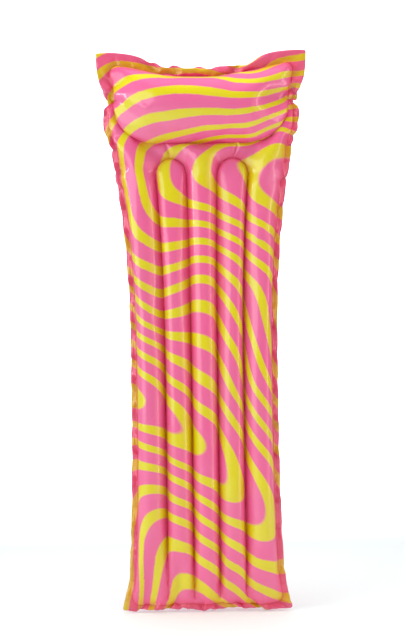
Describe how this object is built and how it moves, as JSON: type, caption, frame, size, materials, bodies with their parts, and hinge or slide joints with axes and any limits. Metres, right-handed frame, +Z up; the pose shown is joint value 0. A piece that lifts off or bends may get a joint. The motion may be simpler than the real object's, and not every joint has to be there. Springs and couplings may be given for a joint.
{
  "type": "inflatable pool lounger",
  "caption": "Inflatable pool lounger of welded vinyl film: long air tubes, a separate pillow with ear-shaped corners, a flat welded edge and a push-in valve for each air chamber.",
  "frame": {"origin": "middle of the foot edge, where the upright lounger meets the floor, in the plane where its two films are welded", "axes": "+Z runs up the lounger from the foot to the pillow, -Y is the printed side a person lies on, +Y is the back with the valves, +X is to the right seen from the front. It is drawn standing, as pictured, and is used lying on its back, +Y down."},
  "size_m": [0.652, 0.1812, 1.73],
  "materials": {
    "printed_vinyl": "glossy vinyl film, pink printed with lime-yellow wavy stripes",
    "valve_vinyl": "soft moulded vinyl, off-white satin"
  },
  "bodies": {
    "root": {"front_sheet": "printed_vinyl", "back_sheet": "printed_vinyl", "body_valve_base": "valve_vinyl", "pillow_valve_base": "valve_vinyl"},
    "body_stem": {"body_valve_stem": "valve_vinyl"},
    "body_plug": {"body_valve_plug": "valve_vinyl"},
    "body_flap": {"body_valve_flap": "valve_vinyl"},
    "pillow_stem": {"pillow_valve_stem": "valve_vinyl"},
    "pillow_plug": {"pillow_valve_plug": "valve_vinyl"},
    "pillow_flap": {"pillow_valve_flap": "valve_vinyl"}
  },
  "joints": [
    {"name": "body_valve_push", "type": "slide", "parent": "root", "child": "body_stem", "axis": [-0.0035, 0.9981, 0.061], "range_m": [0, 0.0125]},
    {"name": "body_valve_plug_swing", "type": "hinge", "parent": "body_stem", "child": "body_plug", "pos_m": [0.17871, 0.04856, 1.15036], "axis": [-1, -0.0035, 0], "range_deg": [0, 150]},
    {"name": "body_valve_flap_swing", "type": "hinge", "parent": "body_stem", "child": "body_flap", "pos_m": [0.17878, 0.02838, 1.15353], "axis": [1, 0.0035, 0], "range_deg": [0, 60]},
    {"name": "pillow_valve_push", "type": "slide", "parent": "root", "child": "pillow_stem", "axis": [-0.1452, 0.9885, -0.041], "range_m": [0, 0.0125]},
    {"name": "pillow_valve_plug_swing", "type": "hinge", "parent": "pillow_stem", "child": "pillow_plug", "pos_m": [-0.15075, 0.08801, 1.53853], "axis": [-0.9894, -0.1454, 0], "range_deg": [0, 150]},
    {"name": "pillow_valve_flap_swing", "type": "hinge", "parent": "pillow_stem", "child": "pillow_flap", "pos_m": [-0.14788, 0.06847, 1.54375], "axis": [0.9894, 0.1454, 0], "range_deg": [0, 60]}
  ]
}
